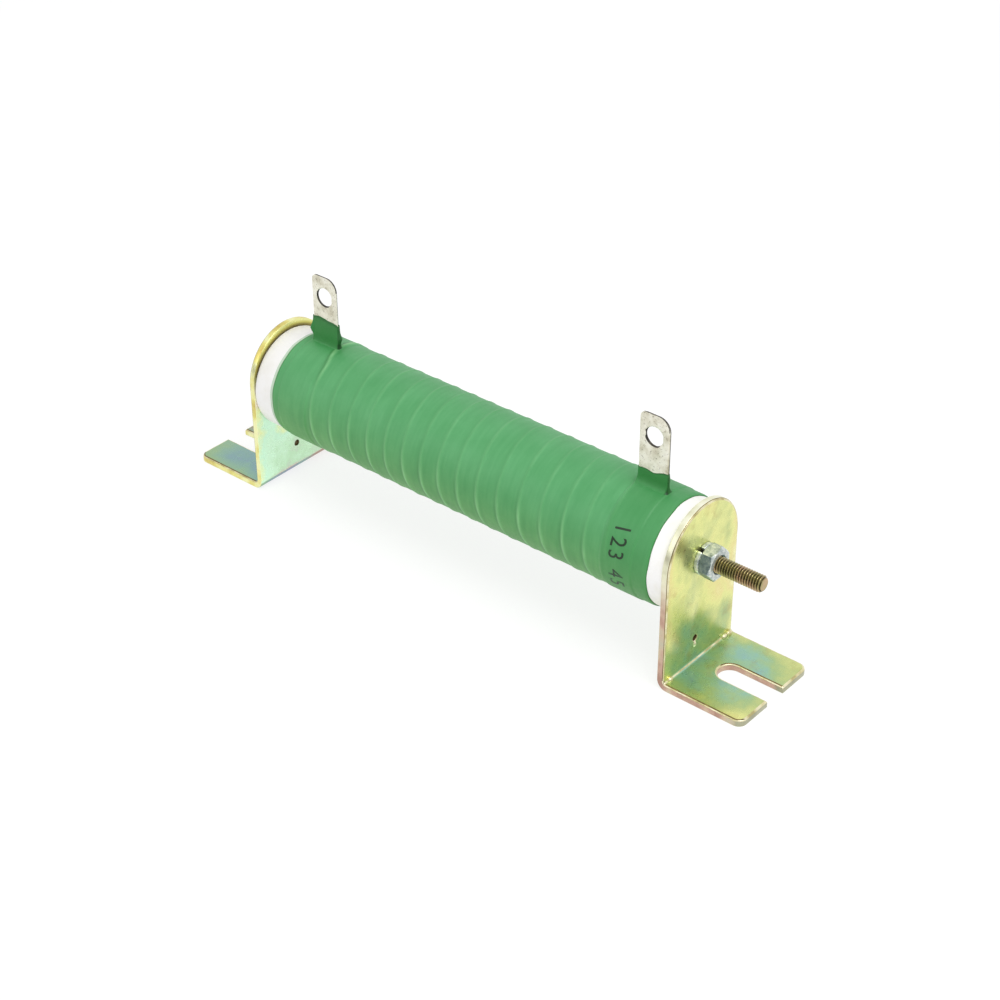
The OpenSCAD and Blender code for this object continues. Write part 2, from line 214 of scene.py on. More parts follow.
# Terminals
# Two steel strips, each bent round the tube with both its ends turned up and laid together as a lug.
# The lug is punched, hot tinned and a little tarnished, and its cut edges have gone dark.
terminal_x = [sum(corner[0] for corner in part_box("terminal_" + side)) / 2 / MM
              for side in ("left", "right")]


def copied(name):
    """Copies a CAD node's mesh, with its loose triangles merged into whole faces."""
    bm = bmesh.new()
    bm.from_mesh(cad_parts[name].data)
    bmesh.ops.remove_doubles(bm, verts=bm.verts, dist=0.001 * MM)
    bmesh.ops.dissolve_limit(bm, angle_limit=math.radians(1), verts=bm.verts, edges=bm.edges)
    return bm


def softened(bm, width, segments):
    """Rounds each edge that turns by more than 30 degrees."""
    edges = [e for e in bm.edges if len(e.link_faces) == 2 and e.calc_face_angle() > math.radians(30)]
    bmesh.ops.bevel(bm, geom=edges, offset=width * MM, offset_type="OFFSET", segments=segments,
                    profile=0.5, affect="EDGES", clamp_overlap=True, material=-1)


# Hot tin on steel: a soft cream grey, clouded by flux, with fine brown specks and scuffs
tinned, tree, shader, place = new_finish("hot_tinned_steel")
cloud = add(tree, "TexNoise", {"Vector": place, "Scale": every(2.632), "Detail": 5, "Roughness": 0.62})
tint = add(tree, "ValToRGB", {"Fac": cloud.outputs["Fac"]},
           [(0.28, "b9b198"), (0.42, "dedac6"), (0.55, "f2efdf"), (0.75, "fcfbf2")])
specks = add(tree, "TexNoise", {"Vector": place, "Scale": every(0.3846), "Detail": 2, "Roughness": 0.7})
mark = add(tree, "ValToRGB", {"Fac": specks.outputs["Fac"]}, [(0.31, "8d836f"), (0.4, "ffffff")])
both = add(tree, "Mix", {0: 0.75, 6: tint.outputs["Color"], 7: mark.outputs["Color"]},
           data_type="RGBA", blend_type="MULTIPLY")
gloss = add(tree, "MapRange", {"Value": specks.outputs["Fac"], "To Min": 0.35, "To Max": 0.55})
bump = add(tree, "Bump", {"Height": cloud.outputs["Fac"], "Strength": 0.6, "Distance": 0.04 * MM})
tree.links.new(both.outputs[2], shader.inputs["Base Color"])
tree.links.new(gloss.outputs["Result"], shader.inputs["Roughness"])
tree.links.new(bump.outputs["Normal"], shader.inputs["Normal"])
shader.inputs["Metallic"].default_value = 0.5

# The strip was cut after tinning, so its edges are bare steel that has browned
cut_steel, tree, shader, place = new_finish("browned_cut_steel")
rust = add(tree, "TexNoise", {"Vector": place, "Scale": every(0.8333), "Detail": 4})
tint = add(tree, "ValToRGB", {"Fac": rust.outputs["Fac"]}, [(0.3, "1d1a15"), (0.7, "4b453a")])
tree.links.new(tint.outputs["Color"], shader.inputs["Base Color"])
shader.inputs["Metallic"].default_value = 0.2
shader.inputs["Roughness"].default_value = 0.5

hole_r = 1.75
hole_z = 40.6
rim_round = 0.2
cut_round = 0.05
for side, middle in zip(("left", "right"), terminal_x):
    bm = copied("terminal_" + side)

    def from_hole(place):
        return math.hypot(place.x / MM - middle, place.z / MM - hole_z) - hole_r

    # The punch rolled the hole's rim over on the front
    rim = [e for e in bm.edges if max(abs(from_hole(v.co)) for v in e.verts) < 0.05
           and max(v.co.y for v in e.verts) < -0.05 * MM and len(e.link_faces) == 2
           and e.calc_face_angle() > 1]
    bmesh.ops.bevel(bm, geom=rim, offset=rim_round * MM, offset_type="OFFSET", segments=3,
                    profile=0.5, affect="EDGES", clamp_overlap=False, material=-1)
    softened(bm, cut_round, 2)
    # The narrow sides and the lower left of the hole's wall are cut steel, and the rest stays tinned
    for face in bm.faces:
        middle_of = face.calc_center_median()
        above_tube = middle_of.z / MM - axis_z - tube_r
        n = face.normal
        if from_hole(middle_of) < 0.25 and above_tube > 5:
            face.material_index = 1 if abs(n.y) < 0.97 and n.x + n.z > 0.1 else 0
        elif abs(n.y) < 0.75 and above_tube > 1:
            face.material_index = 1
    lug = made(bm, "lug_" + side, tinned, "tinned_steel", "terminal_" + side)
    lug.data.materials.append(cut_steel)


# Coat
# A green silicone cement, brushed or dipped over the winding and the terminal bands and cured. It is
# thin, so each turn of the wire stands up in it as a narrow ridge, and it creeps up the two lugs.
coat_low, coat_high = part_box("green_coat")
coat_x0 = coat_low[0] / MM
coat_x1 = coat_high[0] / MM
coat_r = 10
coat_points = 640
coat_steps = 120
# The coat rises over each terminal's band
band_edges = [[-39.95, -33.35], [34.05, 40.4]]
band_rise = 0.13
band_slope = 0.28
# A ridge's height and width, how much more of both it has where the winding starts, and the low swell
# that it stands on
ridge_h = 0.085
ridge_w = 0.2
start_h = 0.06
start_w = 0.08
start_turns = 0.12
fade_turns = 0.1
swell_h = 0.03
swell_w = 0.7
# A ridge's crest is paler, where the coat is thin and as a painted highlight, and the lee on its left
# is painted darker as shade. Both show more at the start.
crest_w = 0.3
lee_shade_off = 0.55
lee_shade_w = 0.3
start_shows = 7


def coat_surface(x, phi):
    """The coat at a place along the tube and an angle in degrees from the top to the front: its
    radius, and how far the place belongs to a ridge's top, painted paler as a highlight, and to the
    hollow on its left, painted darker as shade."""
    part = (phi - ridge_phi) / 360
    radius = coat_r
    crest = lee_shade = 0
    for low, high in band_edges:
        radius += band_rise * ease((x - low) / band_slope + 0.5) * ease((high - x) / band_slope + 0.5)
    nearest = round((x - ridge_x) / ridge_pitch - part)
    for k in (nearest - 1, nearest, nearest + 1):
        turn = k + part
        if first_turn - fade_turns < turn < last_turn + fade_turns:
            fade = ease((turn - first_turn) / fade_turns + 1) * ease((last_turn - turn) / fade_turns + 1)
            first = ease(-turn / start_turns)
            off = x - ridge_at(turn)
            height = ridge_h + start_h * first
            radius += fade * height * math.exp(-(off / (ridge_w + start_w * first)) ** 2)
            radius += fade * swell_h * math.exp(-(off / swell_w) ** 2)
            shows = fade * (1 + start_shows * first)
            crest = max(crest, shows * math.exp(-(off / crest_w) ** 2))
            lee_shade = max(lee_shade, shows * math.exp(-((off + lee_shade_off) / lee_shade_w) ** 2))
    # A coat laid by hand isn't quite round
    a = math.radians(phi)
    radius += 0.01 * math.sin(2 * a + x * 0.31) + 0.006 * math.sin(5 * a - x * 0.83 + 1)
    return radius, crest, lee_shade


inner_r = tube_r + 0.005
film_r = inner_r + 0.05
profile = [[coat_x0, inner_r]]
profile += [[coat_x0 + (coat_x1 - coat_x0) * k / coat_points, coat_r] for k in range(coat_points + 1)]
profile.append([coat_x1, inner_r])
bm = turned(profile, coat_steps, True)

# Half the width and thickness of a lug, which the coat goes round
strip_half = 2.95
lug_half_t = 0.2
# Towards its ends the coat thins, down to a skirt at the left
end_run = 0.9
skirt = 0.5
# How thick the coat looks, and where it is painted shade: up to 0.6 it is a fuller green, and beyond
# that it darkens further. The right end, the feet of the lugs, the climbs' top edges and right sides
# and the pits at the lugs' corners are painted darker as shade.
edge_shade = 0.85
end_deep = 0.7
band_deep = 0.25
lug_foot_shade = 0.36
climb_deep = 0.6
pit_shade = 1.15
crest_layer = bm.verts.layers.float.new("crest")
lee_shade_layer = bm.verts.layers.float.new("lee_shade")
thin_layer = bm.verts.layers.float.new("thin")
depth_and_shade_layer = bm.verts.layers.float.new("depth_and_shade")
for v in bm.verts:
    x = v.co.x / MM
    if v.co.yz.length / MM < coat_r - 0.1:
        v[depth_and_shade_layer] = edge_shade if x > 0 else 0
        v[thin_layer] = 1 if x < 0 else 0
        continue
    phi = math.degrees(math.atan2(-v.co.y, v.co.z)) % 360
    radius, v[crest_layer], v[lee_shade_layer] = coat_surface(x, phi)
    # The left end shows the ceramic through it, with a fuller band beside that, and the right end is
    # painted dark as shade
    to_end = min(x - coat_x0 - skirt, coat_x1 - x)
    if to_end < end_run:
        full = math.sqrt(max(1 - (1 - max(to_end, 0) / end_run) ** 2, 0))
        radius = film_r + (radius - film_r) * full
        if x < 0:
            v[thin_layer] = ease(0.9 - to_end / 0.15)
            v[depth_and_shade_layer] = end_deep * ease(1 - abs(to_end - 0.2) / 0.2)
        else:
            v[depth_and_shade_layer] = edge_shade * ease(1 - to_end / 0.22)
    v[depth_and_shade_layer] = max(v[depth_and_shade_layer], band_deep * ease((x - band_edges[1][0]) / 0.6))
    # Round the foot of each lug the coat is painted darker as shade
    for lug in terminal_x:
        if v.co.z > 0 and abs(x - lug) < 9:
            away = math.hypot(max(abs(x - lug) - strip_half, 0), max(abs(v.co.y / MM) - lug_half_t, 0))
            v[depth_and_shade_layer] = max(v[depth_and_shade_layer], lug_foot_shade * math.exp(-(away / 1.7) ** 2))
    v.co.y *= radius / coat_r
    v.co.z *= radius / coat_r
# The brush left both ends wavy
for v in bm.verts:
    x = v.co.x / MM
    a = math.atan2(-v.co.y, v.co.z)
    wave = 0.05 * math.sin(3 * a + 1) + 0.04 * math.sin(7 * a + 2) + 0.03 * math.sin(13 * a)
    near_end = ease(1 - min(x - coat_x0, coat_x1 - x) / 3)
    v.co.x += MM * near_end * (wave - 0.4 if x < 0 else -0.1 - wave)

# How the coat climbs each lug: how thick it is there, how far it spreads at the foot, where the pit
# at its right corner lies across, which is painted dark as shade, how high its edge stands above the
# tube's coat at the left, the middle and the right, and the drops that hang on its narrow sides as
# [towards +X or -X, height, how far it stands out, size]
climbs = [[0.2, 0.5, -0.25, [4.8, 5.0, 4.4], [[-1, 2.5, 0.7, 1.0], [1, 2.0, 0.4, 0.7]]],
          [0.1, 0.85, -0.7, [2.75, 2.7, 3.3], [[1, 2.4, 0.12, 0.6]]]]
fillet_rise = 1.5
fillet_rings = 8
climb_rings = 7
side_points = 22
corner_points = 4
pit_x = 0.3
pit_size = 0.6

# The outline of a lug, with rounded corners, as [x, y, outward x, outward y]
around = []
for quarter, (sign_x, sign_y) in enumerate([(1, 1), (-1, 1), (-1, -1), (1, -1)]):
    for k in range(corner_points):
        a = math.radians(90 * (quarter + k / (corner_points - 1)))
        around.append([sign_x * strip_half, sign_y * lug_half_t, math.cos(a), math.sin(a)])
    if quarter % 2 == 0:
        for k in range(1, side_points):
            along = 1 - 2 * k / side_points
            around.append([sign_x * strip_half * along, sign_y * lug_half_t, 0, sign_y])

for lug, (climb_t, foot, pit_y, tops, drops) in zip(terminal_x, climbs):
    # Rings as [how far out, height, share of the climb]: the foot's fillet, the climb, and its top,
    # which closes in to the lug
    levels = [[foot * 1.05, -0.3, 0]]
    for k in range(fillet_rings + 1):
        a = math.radians(90 * k / fillet_rings)
        levels.append([climb_t + (foot - climb_t) * (1 - math.sin(a)),
                       fillet_rise * (1 - math.cos(a)), 0])
    levels += [[climb_t * (1 - 0.3 * k / climb_rings), fillet_rise, k / climb_rings]
               for k in range(1, climb_rings + 1)]
    levels += [[climb_t * 0.5, fillet_rise, 1.035], [0.02, fillet_rise, 1.05],
               [-0.12, fillet_rise, 1.05]]
    rings = [bmesh.ops.create_circle(bm, segments=len(around), radius=1)["verts"]]
    edges = list(dict.fromkeys(e for v in rings[0] for e in v.link_edges))
    for _ in levels[1:]:
        grown = bmesh.ops.extrude_edge_only(bm, edges=edges)["geom"]
        new = {g for g in grown if isinstance(g, bmesh.types.BMVert)}
        edges = [g for g in grown if isinstance(g, bmesh.types.BMEdge)
                 and g.verts[0] in new and g.verts[1] in new]
        rings.append([next(e.other_vert(v) for e in v.link_edges if e.other_vert(v) in new)
                      for v in rings[-1]])
    bmesh.ops.contextual_create(bm, geom=rings[0])
    bmesh.ops.contextual_create(bm, geom=rings[-1])
    for ring, (reach, rise, share) in zip(rings, levels):
        for v, (px, py, nx, ny) in zip(ring, around):
            across = px / strip_half
            top = tops[1] + (tops[2 if across > 0 else 0] - tops[1]) * abs(across)
            top += 0.12 * math.sin(5 * across + 2 * ny)
            height = rise + (top - fillet_rise) * share
            # The right side's foot spreads less
            spread = climb_t + (reach - climb_t) * (1 - 0.6 * max(nx, 0)) if reach > climb_t else reach
            if share < 1.02:
                for way, level, out, size in drops:
                    spread += out * math.exp(-((height - level) / size) ** 2) * max(way * nx, 0)
            x = lug + px + nx * spread
            y = py + ny * spread
            phi = math.degrees(math.atan2(-y, coat_r)) % 360
            base = math.sqrt(coat_surface(x, phi)[0] ** 2 - y * y)
            v.co = Vector((x, y, base + height)) * MM
            # The climb's top edge and its right side are painted dark as shade, and the rest is a fuller
            # green
            if share > 0.99 or nx > 0.5:
                v[depth_and_shade_layer] = edge_shade
            else:
                fuller = climb_deep - 0.3 * (reach - climb_t) / (foot - climb_t)
                v[depth_and_shade_layer] = max(fuller, lug_foot_shade)
            # The pit at the lug's right corner is painted dark as shade
            if share < 0.1:
                from_pit = math.hypot(x - lug - strip_half - pit_x, (y - pit_y) * 0.7)
                pit_shading = math.exp(-(from_pit / pit_size) ** 2) * ease(1.8 - rise / 0.9)
                v[depth_and_shade_layer] = max(v[depth_and_shade_layer], pit_shade * pit_shading)
bmesh.ops.translate(bm, verts=bm.verts, vec=(0, 0, axis_z * MM))
bmesh.ops.recalc_face_normals(bm, faces=bm.faces)

# Silicone cement: a satin mid green with faint brush streaks that run round the tube. Towards the low
# front it is painted darker and yellower as shade. Its crests are paler, where it is thin and as a
# painted highlight, and the hollows beside them are painted darker as shade. Its filler makes a fine
# tooth, drawn at 0.45 mm so that it shows.
cement, tree, shader, place = new_finish("green_silicone_cement")
round_tube = add(tree, "Mapping", {"Vector": place, "Scale": (3, 0.4, 0.4)})
cloud = add(tree, "TexNoise", {"Vector": place, "Scale": every(6.25), "Detail": 4, "Roughness": 0.6})
streak = add(tree, "TexNoise", {"Vector": round_tube.outputs["Vector"], "Scale": every(3.333),
                                "Detail": 4, "Roughness": 0.6})
mixed = add(tree, "Mix", {0: 0.5, 2: cloud.outputs["Fac"], 3: streak.outputs["Fac"]},
            data_type="FLOAT")
up = add(tree, "SeparateXYZ", {"Vector": place})
# Towards the low front the coat is painted darker and yellower green, as shade
shaded_low_front = add(tree, "MapRange", {"Value": up.outputs["Z"], "From Min": (axis_z - 9) * MM,
                                   "From Max": (axis_z + 7) * MM, "To Min": 1, "To Max": 0},
                interpolation_type="SMOOTHSTEP")
tint = add(tree, "ValToRGB", {"Fac": mixed.outputs[0]},
           [(0.32, "4a9a5c"), (0.5, "53a164"), (0.68, "5ca96d")])
shaded_tint_low = add(tree, "ValToRGB", {"Fac": mixed.outputs[0]},
               [(0.32, "458b40"), (0.5, "549749"), (0.68, "64a454")])
body = add(tree, "Mix", {0: shaded_low_front.outputs["Result"], 6: tint.outputs["Color"],
                         7: shaded_tint_low.outputs["Color"]}, data_type="RGBA")
crest = add(tree, "Attribute", attribute_name="crest")
lee_shade = add(tree, "Attribute", attribute_name="lee_shade")
wear = add(tree, "MapRange", {"Value": streak.outputs["Fac"], "From Min": 0.35, "From Max": 0.65,
                              "To Min": 0.25, "To Max": 0.6})
# The crests' painted highlight and the lees' painted shade show most on the low front
light_strength = add(tree, "MapRange", {"Value": shaded_low_front.outputs["Result"], "From Min": 0.02,
                                  "From Max": 0.45, "To Min": 0.2, "To Max": 1})
crest_share = add(tree, "Math", {0: crest.outputs["Fac"], 1: wear.outputs["Result"]},
                  operation="MULTIPLY")
crest_share = add(tree, "Math", {0: crest_share.outputs["Value"], 1: light_strength.outputs["Result"]},
                  operation="MULTIPLY")
lee_shade_share = add(tree, "Math", {0: lee_shade.outputs["Fac"], 1: 0.4}, operation="MULTIPLY")
lee_shade_share = add(tree, "Math", {0: lee_shade_share.outputs["Value"], 1: light_strength.outputs["Result"]},
                operation="MULTIPLY")
thin = add(tree, "Attribute", attribute_name="thin")
depth_and_shade = add(tree, "Attribute", attribute_name="depth_and_shade")
thick = add(tree, "MapRange", {"Value": depth_and_shade.outputs["Fac"], "From Max": 0.6})
sunk_shade = add(tree, "MapRange", {"Value": depth_and_shade.outputs["Fac"], "From Min": 0.62, "From Max": 1})
painted = body
# Over the body colour: the lee painted darker as shade, the crest paler where the coat is thin and as a
# painted highlight, a fuller green, black green as painted shade, and pale at the thin left end
for share, colour in ((lee_shade_share.outputs["Value"], "37783f"), (crest_share.outputs["Value"], "93d492"),
                      (thick.outputs["Result"], "2a8138"), (sunk_shade.outputs["Result"], "003f10"),
                      (thin.outputs["Fac"], "c3d8c2")):
    painted = add(tree, "Mix", {0: share, 6: painted.outputs[2], 7: linear(colour)}, data_type="RGBA")
skin = add(tree, "TexNoise", {"Vector": place, "Scale": every(0.4545), "Detail": 3})
bump = add(tree, "Bump", {"Height": skin.outputs["Fac"], "Strength": 0.3, "Distance": 0.02 * MM})
gloss = add(tree, "MapRange", {"Value": skin.outputs["Fac"], "To Min": 0.4, "To Max": 0.62})
tree.links.new(painted.outputs[2], shader.inputs["Base Color"])
tree.links.new(gloss.outputs["Result"], shader.inputs["Roughness"])
tree.links.new(bump.outputs["Normal"], shader.inputs["Normal"])
made(bm, "cement_coat", cement, "coat", "green_coat", crease=60)


# Printed mark
# A plain run of digits rolled on the coat in dark green ink near its right end, read down the front.
# The ink lies on the coat as a thin film, and wears off towards the underside.
digits = "123 45"
digit_height = 3.1
font_digit = 0.72
digit_squeeze = 0.86
digit_lean = -0.2
digit_stroke = 0.004
digit_spacing = 1.22
print_x = 35.9
print_phi = 50
ink_t = 0.02
ink_gap = 0.006
strips = 40

lettering = bpy.data.curves.new("digits", "FONT")
lettering.body = digits
lettering.size = digit_height / font_digit * MM
lettering.shear = digit_lean
lettering.resolution_u = 3
lettering.offset = digit_stroke * MM
lettering.space_character = digit_spacing
typed = bpy.data.objects.new("digits", lettering)
bm = bmesh.new()
bm.from_mesh(bpy.data.meshes.new_from_object(typed))
bpy.data.objects.remove(typed)
bmesh.ops.remove_doubles(bm, verts=bm.verts, dist=0.002 * MM)
bmesh.ops.scale(bm, verts=bm.verts, vec=(digit_squeeze, 1, 1))
# The flat print is cut into strips, so that it can bend round the coat
length = max(v.co.x for v in bm.verts)
for k in range(1, strips):
    bmesh.ops.bisect_plane(bm, geom=bm.verts[:] + bm.edges[:] + bm.faces[:],
                           plane_co=(length * k / strips, 0, 0), plane_no=(1, 0, 0))
bmesh.ops.solidify(bm, geom=bm.faces[:], thickness=ink_t * MM)
low = min(v.co.z for v in bm.verts)
for v in bm.verts:
    x = print_x + v.co.y / MM
    phi = print_phi + math.degrees(v.co.x / MM / coat_r)
    radius = coat_surface(x, phi)[0] + ink_gap + (v.co.z - low) / MM
    a = math.radians(phi)
    v.co = Vector((x, -radius * math.sin(a), radius * math.cos(a) + axis_z)) * MM
bmesh.ops.recalc_face_normals(bm, faces=bm.faces)

# Stamping ink: a very dark green, worn through in specks, more of them towards the underside
ink, tree, shader, place = new_finish("worn_green_ink")
rub = add(tree, "TexNoise", {"Vector": place, "Scale": every(0.6667), "Detail": 3, "Roughness": 0.7})
down = add(tree, "SeparateXYZ", {"Vector": place})
worn = add(tree, "MapRange", {"Value": down.outputs["Z"], "From Min": (axis_z - 8) * MM,
                              "From Max": (axis_z + 3) * MM, "To Min": 0.14, "To Max": -0.2})
wear = add(tree, "Math", {0: rub.outputs["Fac"], 1: worn.outputs["Result"]}, operation="ADD")
tint = add(tree, "ValToRGB", {"Fac": wear.outputs["Value"]},
           [(0.4, "0a2a10"), (0.55, "1f5329"), (0.7, "43854d")])
tree.links.new(tint.outputs["Color"], shader.inputs["Base Color"])
shader.inputs["Roughness"].default_value = 0.5
made(bm, "printed_digits", ink, "coat")


# Brackets
# Two L-shaped feet stamped from steel sheet, each with a round top, an open slot in its foot and a
# small pierced hole, zinc plated and yellow passivated. The press leaves a rounded and a sharp side.
zinc, tree, shader, place = new_finish("yellow_passivated_zinc")
film = add(tree, "TexNoise", {"Vector": place, "Scale": every(9.091), "Detail": 3, "Roughness": 0.55,
                              "Distortion": 0.25})
mottle = add(tree, "TexNoise", {"Vector": place, "Scale": every(1.786), "Detail": 5,
                                "Roughness": 0.65})
parts = add(tree, "SeparateXYZ", {"Vector": place})
side_way = add(tree, "Math", {0: parts.outputs["Y"]}, operation="ABSOLUTE")
end_way = add(tree, "Math", {0: parts.outputs["X"]}, operation="ABSOLUTE")
# The film's thickness sets its colour: it is thinnest on the feet, and thicker up the plates and at
# their rims
thick = add(tree, "Math", {0: film.outputs["Fac"], 1: 0.5, 2: -0.05}, operation="MULTIPLY_ADD")
thick = add(tree, "Math", {0: mottle.outputs["Fac"], 1: 0.16, 2: thick.outputs["Value"]},
            operation="MULTIPLY_ADD")
for socket, low, high, gain in ((parts.outputs["Z"], 1.2, 2.2, 0.13),
                                (parts.outputs["Z"], 7, 12.5, 0.13),
                                (side_way.outputs["Value"], 6.5, 9.8, 0.13),
                                (end_way.outputs["Value"], 57, 63.5, 0.12)):
    share = add(tree, "MapRange", {"Value": socket, "From Min": low * MM, "From Max": high * MM,
                                   "To Max": gain}, interpolation_type="SMOOTHSTEP")
    thick = add(tree, "Math", {0: thick.outputs["Value"], 1: share.outputs["Result"]}, operation="ADD")
tint = add(tree, "ValToRGB", {"Fac": thick.outputs["Value"]},
           [(0.2, "92bcbc"), (0.27, "9bc4a8"), (0.35, "aac48c"), (0.43, "c4cf8a"), (0.54, "e6e898"),
            (0.62, "e9de98"), (0.7, "f2efb4")])
# The left bracket is paler, and its foot bluer
pale = add(tree, "ValToRGB", {"Fac": thick.outputs["Value"]},
           [(0.21, "dfc0b8"), (0.27, "e2cfc0"), (0.35, "d3ead0"), (0.4, "d0f4ce"), (0.47, "dcffe0"),
            (0.54, "d8ffe2"), (0.62, "f4fcbc"), (0.7, "f6e6da")])
bluer = add(tree, "ValToRGB", {"Fac": thick.outputs["Value"]},
           [(0.2, "9a97b8"), (0.27, "86a9aa"), (0.38, "8fb49d"), (0.5, "9bb98a"), (0.62, "b9cb94")])
# The left foot's far prong has browned
prong = add(tree, "MapRange", {"Value": parts.outputs["Y"], "From Min": 2 * MM, "From Max": 5 * MM})
browner = add(tree, "Mix", {0: prong.outputs["Result"], 6: bluer.outputs["Color"],
                            7: linear("b08a7a")}, data_type="RGBA")
on_plate = add(tree, "MapRange", {"Value": parts.outputs["Z"], "From Min": 1.32 * MM,
                                  "From Max": 1.6 * MM})
pale_all = add(tree, "Mix", {0: on_plate.outputs["Result"], 6: browner.outputs[2],
                             7: pale.outputs["Color"]}, data_type="RGBA")
left = add(tree, "MapRange", {"Value": parts.outputs["X"], "From Min": -1 * MM, "From Max": 1 * MM,
                              "To Min": 1, "To Max": 0})
both = add(tree, "Mix", {0: left.outputs["Result"], 6: tint.outputs["Color"], 7: pale_all.outputs[2]},
           data_type="RGBA")
# The right bracket has faint brown stains
stain = add(tree, "TexNoise", {"Vector": place, "Scale": every(3.846), "Detail": 5, "Roughness": 0.6})
stained = add(tree, "MapRange", {"Value": stain.outputs["Fac"], "From Min": 0.55, "From Max": 0.72,
                                 "To Max": 0.4})
right = add(tree, "Math", {0: 1, 1: left.outputs["Result"]}, operation="SUBTRACT")
stained = add(tree, "Math", {0: stained.outputs["Result"], 1: right.outputs["Value"]},
              operation="MULTIPLY")
# On the left plate's inner face above the tube the zinc is straw, painted darker towards the tube as
# shade, and dark brown as painted shadow on the line where they meet
inner = add(tree, "MapRange", {"Value": parts.outputs["X"], "From Min": (-tube_end - 0.25) * MM,
                               "From Max": (-tube_end - 0.05) * MM})
above = add(tree, "MapRange", {"Value": parts.outputs["Z"], "From Min": 20 * MM, "From Max": 25 * MM,
                               "To Max": 0.95})
straw_and_shade_ring = add(tree, "Math", {0: inner.outputs["Result"], 1: above.outputs["Result"]},
             operation="MULTIPLY")
straw_and_shade_ring = add(tree, "Math", {0: straw_and_shade_ring.outputs["Value"], 1: left.outputs["Result"]},
             operation="MULTIPLY")
from_axis = add(tree, "VectorMath", {0: place, 1: (0, 0, axis_z * MM)}, operation="SUBTRACT")
from_axis = add(tree, "VectorMath", {0: from_axis.outputs["Vector"], 1: (0, 1, 1)},
                operation="MULTIPLY")
from_axis = add(tree, "VectorMath", {0: from_axis.outputs["Vector"]}, operation="LENGTH")
reach = add(tree, "MapRange", {"Value": from_axis.outputs["Value"], "From Min": (tube_r + 0.05) * MM,
                               "From Max": (tube_r + 1.4) * MM})
contact_shade = add(tree, "ValToRGB", {"Fac": reach.outputs["Result"]},
              [(0.0, "6a5a24"), (0.2, "8a7a34"), (0.45, "c9c25e"), (0.8, "eeec9c")])
share = add(tree, "Math", {0: straw_and_shade_ring.outputs["Value"], 1: stained.outputs["Value"]},
            operation="MAXIMUM")
stain_and_shade_tint = add(tree, "Mix", {0: left.outputs["Result"], 6: linear("a58c50"),
                               7: contact_shade.outputs["Color"]}, data_type="RGBA")
toned = add(tree, "Mix", {0: share.outputs["Value"], 6: both.outputs[2], 7: stain_and_shade_tint.outputs[2]},
            data_type="RGBA")
streak = add(tree, "TexNoise", {"Vector": place, "Scale": every(1.111), "Detail": 3})
gloss = add(tree, "MapRange", {"Value": streak.outputs["Fac"], "To Min": 0.18, "To Max": 0.4})
bump = add(tree, "Bump", {"Height": streak.outputs["Fac"], "Strength": 0.35, "Distance": 0.02 * MM})
tree.links.new(toned.outputs[2], shader.inputs["Base Color"])
tree.links.new(gloss.outputs["Result"], shader.inputs["Roughness"])
tree.links.new(bump.outputs["Normal"], shader.inputs["Normal"])
shader.inputs["Metallic"].default_value = 0.85

# On the sheared edges the film is thinner: pink low down, grey at the foot's end, cream round the top,
# and straw on the left bracket
edge_zinc, tree, shader, place = new_finish("passivated_sheared_edge")
film = add(tree, "TexNoise", {"Vector": place, "Scale": every(3.846), "Detail": 4})
pink = add(tree, "ValToRGB", {"Fac": film.outputs["Fac"]},
           [(0.35, "b08c7c"), (0.48, "c6a592"), (0.58, "d0baa0"), (0.7, "c6c0a8")])
cream = add(tree, "ValToRGB", {"Fac": film.outputs["Fac"]},
            [(0.35, "d8d6b8"), (0.5, "ececce"), (0.65, "f8f8e2")])
straw = add(tree, "ValToRGB", {"Fac": film.outputs["Fac"]},
            [(0.35, "cdb966"), (0.5, "e6de88"), (0.62, "f2f2b8")])
grey = add(tree, "ValToRGB", {"Fac": film.outputs["Fac"]}, [(0.35, "96957a"), (0.65, "b8b89c")])
parts = add(tree, "SeparateXYZ", {"Vector": place})
high = add(tree, "MapRange", {"Value": parts.outputs["Z"], "From Min": 15 * MM, "From Max": 23 * MM})
tips = add(tree, "MapRange", {"Value": parts.outputs["X"], "From Min": 61.5 * MM, "From Max": 62.5 * MM})
low = add(tree, "Mix", {0: tips.outputs["Result"], 6: pink.outputs["Color"],
                        7: grey.outputs["Color"]}, data_type="RGBA")
left = add(tree, "MapRange", {"Value": parts.outputs["X"], "From Min": -1 * MM, "From Max": 1 * MM,
                              "To Min": 1, "To Max": 0})
upper = add(tree, "Mix", {0: high.outputs["Result"], 6: low.outputs[2], 7: cream.outputs["Color"]},
            data_type="RGBA")
both = add(tree, "Mix", {0: left.outputs["Result"], 6: upper.outputs[2], 7: straw.outputs["Color"]},
           data_type="RGBA")
tree.links.new(both.outputs[2], shader.inputs["Base Color"])
shader.inputs["Metallic"].default_value = 0.8
shader.inputs["Roughness"].default_value = 0.33

# In the pierced hole, and along the line where the sheared edge meets the rounded one, the zinc is
# painted dark as shade
shade_zinc, tree, shader, place = new_finish("painted_shade_line")
film = add(tree, "TexNoise", {"Vector": place, "Scale": every(1.429), "Detail": 3})
tint = add(tree, "ValToRGB", {"Fac": film.outputs["Fac"]}, [(0.3, "4e3a1e"), (0.7, "8a7646")])
tree.links.new(tint.outputs["Color"], shader.inputs["Base Color"])
shader.inputs["Metallic"].default_value = 0.4
shader.inputs["Roughness"].default_value = 0.4

